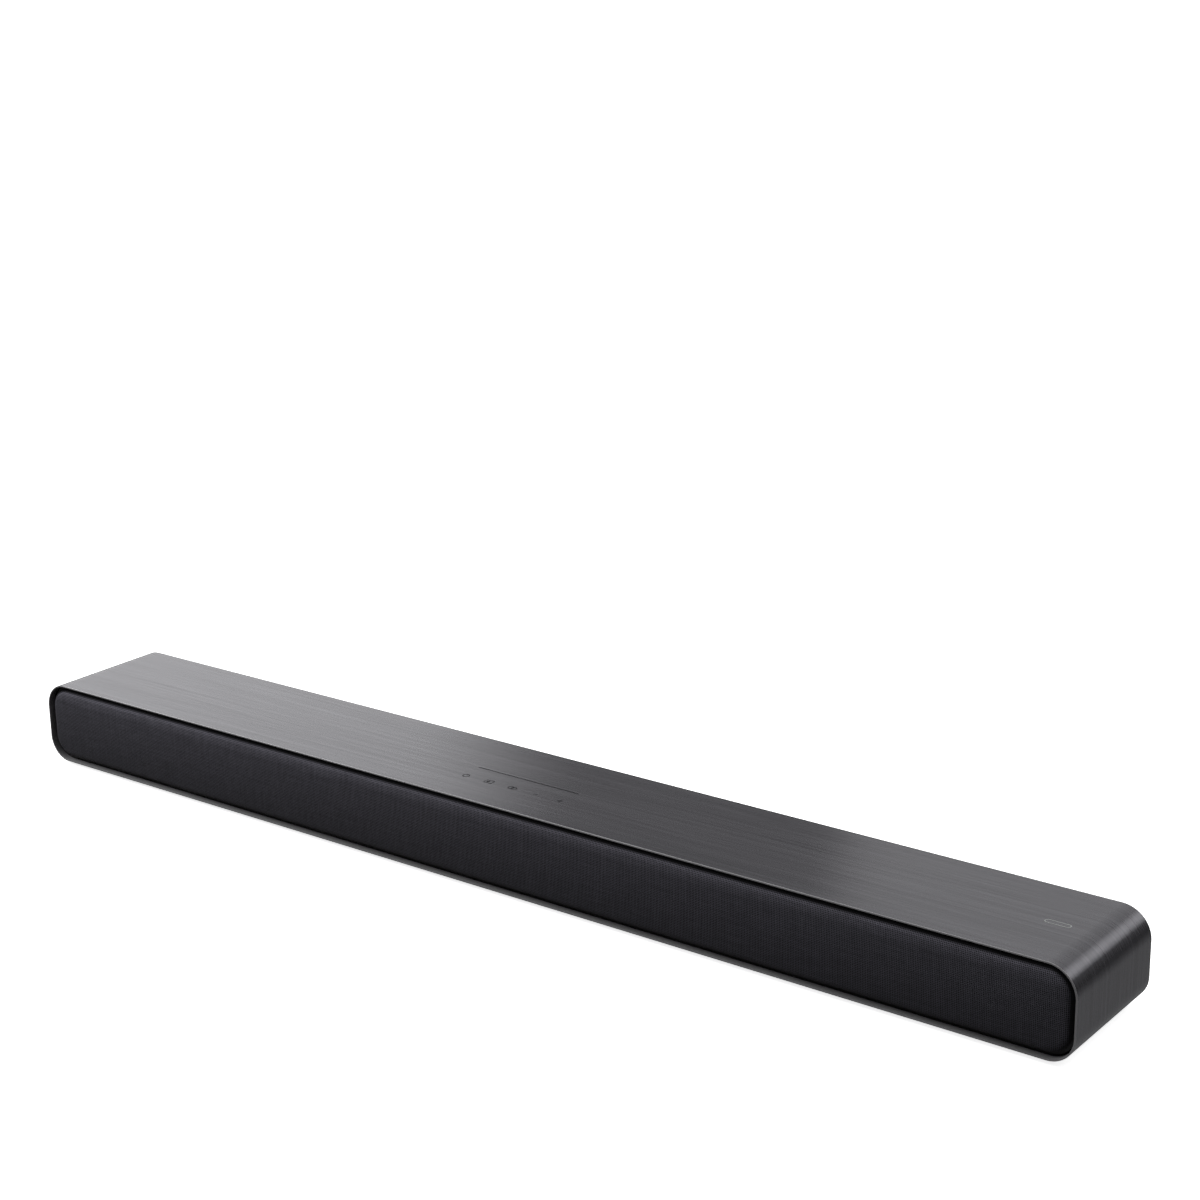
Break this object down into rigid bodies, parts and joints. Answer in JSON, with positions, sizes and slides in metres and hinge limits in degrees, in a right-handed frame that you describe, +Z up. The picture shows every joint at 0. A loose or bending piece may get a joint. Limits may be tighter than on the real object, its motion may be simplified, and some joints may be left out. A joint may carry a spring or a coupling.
{
  "type": "soundbar",
  "caption": "Slim bar loudspeaker: rounded brushed sleeve, cloth front set in a thin lip, touch symbols on top, sprung cones inside and a recessed rear connector bay.",
  "frame": {"origin": "centre of the footprint, on the plane that the rubber feet stand on", "axes": "+X along the bar to its right-hand end as seen from the front, the cloth front faces -Y, +Z up"},
  "size_m": [0.81, 0.0918, 0.06],
  "materials": {
    "brushed_sleeve": "dark grey anodised look with fine brushing along the bar",
    "black_plastic": "moulded black ABS with fine spark texture",
    "woven_cloth": "tight black woven acoustic cloth",
    "pale_ink": "pale grey printed ink",
    "dark_ink": "near-black inlay",
    "black_rubber": "matt black rubber",
    "black_foam": "closed-cell foam",
    "zinc_steel": "zinc plated",
    "ferrite": "ground ferrite",
    "terminal_fibre": "fibre strip with tinned tags",
    "black_screws": "black zinc",
    "zinc_screws": "zinc plated",
    "brass_insert": "turned brass",
    "circuit_board": "green solder mask",
    "chip_black": "moulded epoxy",
    "heat_sink_alloy": "extruded, natural",
    "capacitor_sleeve": "shrink sleeve",
    "transformer_tape": "yellow winding tape round a grey core",
    "smoked_lens": "smoked infrared window",
    "socket_steel": "nickel plated shell",
    "spring_steel": "drawn wire",
    "pin_steel": "nickel plated pins",
    "lead_insulation": "soft insulation",
    "ribbon_film": "polyester film",
    "basket_steel": "pressed steel, black",
    "coated_cone": "coated paper",
    "copper_coil": "enamelled copper on a polyimide former",
    "spider_cloth": "resin-dipped cloth"
  },
  "bodies": {
    "enclosure": {"sleeve": "brushed_sleeve", "front_baffle": "black_plastic", "rear_panel": "black_plastic", "connector_cup": "black_plastic", "power_cup": "black_plastic", "chassis_tray": "black_plastic", "grille_frame": "black_plastic", "grille_cloth": "woven_cloth", "touch_symbols": "dark_ink", "guide_line": "dark_ink", "blank_badge": "pale_ink", "rubber_feet": "black_rubber", "left_speaker_box": "black_plastic", "right_speaker_box": "black_plastic", "foam_seals": "black_foam", "left_basket": "basket_steel", "left_surround": "black_rubber", "left_spider": "spider_cloth", "right_basket": "basket_steel", "right_surround": "black_rubber", "right_spider": "spider_cloth", "driver_yokes": "zinc_steel", "driver_magnets": "ferrite", "driver_top_plates": "zinc_steel", "driver_terminals": "terminal_fibre", "speaker_screws": "black_screws", "baffle_screws": "black_screws", "rear_screws": "black_screws", "board_screws": "zinc_screws", "wall_mount_inserts": "brass_insert", "main_board": "circuit_board", "board_chips": "chip_black", "heat_sink": "heat_sink_alloy", "board_capacitors": "capacitor_sleeve", "board_inductors": "ferrite", "wireless_module": "circuit_board", "power_board": "circuit_board", "transformer": "transformer_tape", "power_capacitors": "capacitor_sleeve", "touch_board": "circuit_board", "sensor_board": "circuit_board", "ir_receiver": "smoked_lens", "hdmi_socket": "socket_steel", "usb_socket": "socket_steel", "optical_socket": "black_plastic", "shutter_spring": "spring_steel", "aux_socket": "black_plastic", "power_inlet": "black_plastic", "inlet_pins": "pin_steel", "speaker_leads": "lead_insulation", "power_lead": "lead_insulation", "touch_ribbon": "ribbon_film", "lead_grommets": "black_rubber"},
    "left_cone_assembly": {"left_cone": "coated_cone", "left_dust_cap": "coated_cone", "left_voice_coil": "copper_coil"},
    "right_cone_assembly": {"right_cone": "coated_cone", "right_dust_cap": "coated_cone", "right_voice_coil": "copper_coil"},
    "optical_flap": {"optical_shutter": "black_plastic"}
  },
  "joints": [
    {"name": "left_cone_slide", "type": "slide", "parent": "enclosure", "child": "left_cone_assembly", "axis": [0, -1, 0], "range_m": [-0.0025, 0.0025], "stiffness_N_per_m": 1500, "deforming": ["left_surround", "left_spider"]},
    {"name": "right_cone_slide", "type": "slide", "parent": "enclosure", "child": "right_cone_assembly", "axis": [0, -1, 0], "range_m": [-0.0025, 0.0025], "stiffness_N_per_m": 1500, "deforming": ["right_surround", "right_spider"]},
    {"name": "optical_shutter_hinge", "type": "hinge", "parent": "enclosure", "child": "optical_flap", "pos_m": [-0.02, 0.0286, 0.022], "axis": [-1, 0, 0], "range_deg": [0, 80], "stiffness_Nm_per_rad": 0.0005, "springref_deg": -17.19, "deforming": ["shutter_spring"]}
  ]
}
